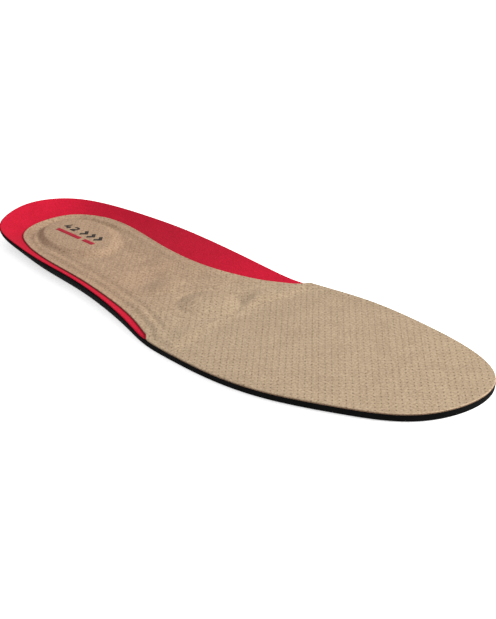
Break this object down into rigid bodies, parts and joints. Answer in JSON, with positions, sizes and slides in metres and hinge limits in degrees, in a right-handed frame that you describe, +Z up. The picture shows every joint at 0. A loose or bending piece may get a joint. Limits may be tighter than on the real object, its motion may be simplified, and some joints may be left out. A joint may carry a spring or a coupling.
{
  "type": "cushioned shoe insole",
  "caption": "Moulded foam insole for a right shoe: shallow heel cup, arch flange, textile lining, cushion pads and a perforated suede-like cover.",
  "frame": {"origin": "middle of the underside's bounding box, on the plane that the insole lies on", "axes": "+X from the heel to the toe, +Y towards the inner (arch) side of the foot, +Z up"},
  "size_m": [0.2714, 0.0878, 0.0122],
  "materials": {
    "foam": "matt fine-textured moulded polyurethane foam",
    "pad_gel": "soft translucent gel rubber",
    "lining_textile": "brushed knit textile",
    "core_foam": "soft open-cell foam sheet",
    "cover_microfibre": "perforated microfibre suede"
  },
  "bodies": {
    "root": {"foam_footbed": "foam", "heel_cushion": "pad_gel", "metatarsal_pad": "pad_gel", "heel_lining": "lining_textile", "core_sheet": "core_foam", "top_cover": "cover_microfibre"}
  },
  "joints": []
}
